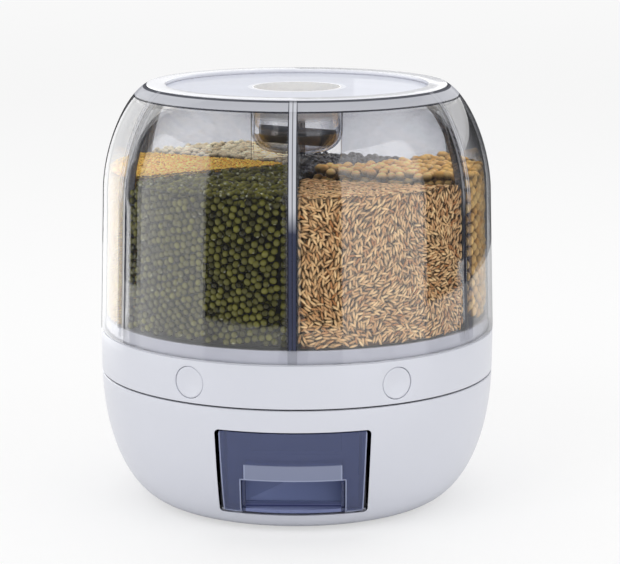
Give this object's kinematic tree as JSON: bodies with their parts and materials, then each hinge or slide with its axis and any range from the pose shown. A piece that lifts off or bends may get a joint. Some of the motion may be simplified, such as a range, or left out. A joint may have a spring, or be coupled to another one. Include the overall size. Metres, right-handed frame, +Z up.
{
  "type": "rotating dry food dispenser",
  "caption": "Round table-top dispenser: a clear divided drum turns on a bowl-shaped base, push buttons open gates, and dry food falls into a drawer.",
  "frame": {"origin": "on the table, under the middle of the base", "axes": "+Z up along the drum's axis, the drawer's front faces -Y, +X is to the right as seen from the front"},
  "size_m": [0.28, 0.28, 0.2965],
  "materials": {
    "white_plastic": "satin, faintly lavender white",
    "clear_plastic": "clear and glossy, faintly blue",
    "frosted_plastic": "half clear, faintly lavender",
    "smoky_plastic": "smoky blue, half clear, glossy",
    "dark_smoky_plastic": "dark smoky, glossy",
    "slide_plastic": "plain, low friction",
    "steel": "bright zinc or polished",
    "foot_rubber": "matt",
    "seal_rubber": "soft, pale"
  },
  "bodies": {
    "base": {"base_shell": "white_plastic", "base_deck": "white_plastic", "drawer_bay": "white_plastic", "bay_screws": "steel", "deck_screws": "steel", "spindle": "steel", "spindle_washer": "steel", "spindle_nut": "steel", "foot_left_front": "foot_rubber", "foot_right_front": "foot_rubber", "foot_right_back": "foot_rubber", "foot_left_back": "foot_rubber"},
    "bearing": {"ball_cage": "slide_plastic", "bearing_balls": "steel"},
    "drum": {"collar": "white_plastic", "outlet_plate": "white_plastic", "chassis_screws": "steel", "drum_floor": "frosted_plastic", "hopper_ridges": "frosted_plastic", "hub_bush": "slide_plastic", "shell_gasket": "seal_rubber", "bin_shell": "clear_plastic", "divider_star": "clear_plastic", "gate_spring_1": "steel", "gate_spring_2": "steel", "gate_spring_3": "steel", "gate_spring_4": "steel", "gate_spring_5": "steel", "gate_spring_6": "steel"},
    "lid": {"lid_rim": "white_plastic", "lid_panel": "clear_plastic", "lid_grip": "dark_smoky_plastic", "lid_seal": "seal_rubber"},
    "drawer": {"drawer_box": "smoky_plastic"},
    "gate_1": {"button_1": "white_plastic", "gate_slider_1": "slide_plastic"},
    "gate_2": {"button_2": "white_plastic", "gate_slider_2": "slide_plastic"},
    "gate_3": {"button_3": "white_plastic", "gate_slider_3": "slide_plastic"},
    "gate_4": {"button_4": "white_plastic", "gate_slider_4": "slide_plastic"},
    "gate_5": {"button_5": "white_plastic", "gate_slider_5": "slide_plastic"},
    "gate_6": {"button_6": "white_plastic", "gate_slider_6": "slide_plastic"}
  },
  "joints": [
    {"name": "drum_spin", "type": "hinge", "parent": "base", "child": "drum", "pos_m": [0, 0, 0], "axis": [0, 0, 1], "continuous": true},
    {"name": "bearing_spin", "type": "hinge", "parent": "base", "child": "bearing", "pos_m": [0, 0, 0], "axis": [0, 0, 1], "continuous": true},
    {"name": "lid_lift", "type": "slide", "parent": "drum", "child": "lid", "axis": [0, 0, 1], "range_m": [0, 0.12]},
    {"name": "drawer_slide", "type": "slide", "parent": "base", "child": "drawer", "axis": [0, -1, 0], "range_m": [0, 0.1]},
    {"name": "gate_1_press", "type": "slide", "parent": "drum", "child": "gate_1", "axis": [-0.5, 0.866, 0], "range_m": [0, 0.012], "stiffness_N_per_m": 150, "springref_m": -0.005, "deforming": ["gate_spring_1"]},
    {"name": "gate_2_press", "type": "slide", "parent": "drum", "child": "gate_2", "axis": [-1, 0, 0], "range_m": [0, 0.012], "stiffness_N_per_m": 150, "springref_m": -0.005, "deforming": ["gate_spring_2"]},
    {"name": "gate_3_press", "type": "slide", "parent": "drum", "child": "gate_3", "axis": [-0.5, -0.866, 0], "range_m": [0, 0.012], "stiffness_N_per_m": 150, "springref_m": -0.005, "deforming": ["gate_spring_3"]},
    {"name": "gate_4_press", "type": "slide", "parent": "drum", "child": "gate_4", "axis": [0.5, -0.866, 0], "range_m": [0, 0.012], "stiffness_N_per_m": 150, "springref_m": -0.005, "deforming": ["gate_spring_4"]},
    {"name": "gate_5_press", "type": "slide", "parent": "drum", "child": "gate_5", "axis": [1, 0, 0], "range_m": [0, 0.012], "stiffness_N_per_m": 150, "springref_m": -0.005, "deforming": ["gate_spring_5"]},
    {"name": "gate_6_press", "type": "slide", "parent": "drum", "child": "gate_6", "axis": [0.5, 0.866, 0], "range_m": [0, 0.012], "stiffness_N_per_m": 150, "springref_m": -0.005, "deforming": ["gate_spring_6"]}
  ],
  "couplings": [
    {"joint": "bearing_spin", "follows": "drum_spin", "ratio": 0.5}
  ]
}
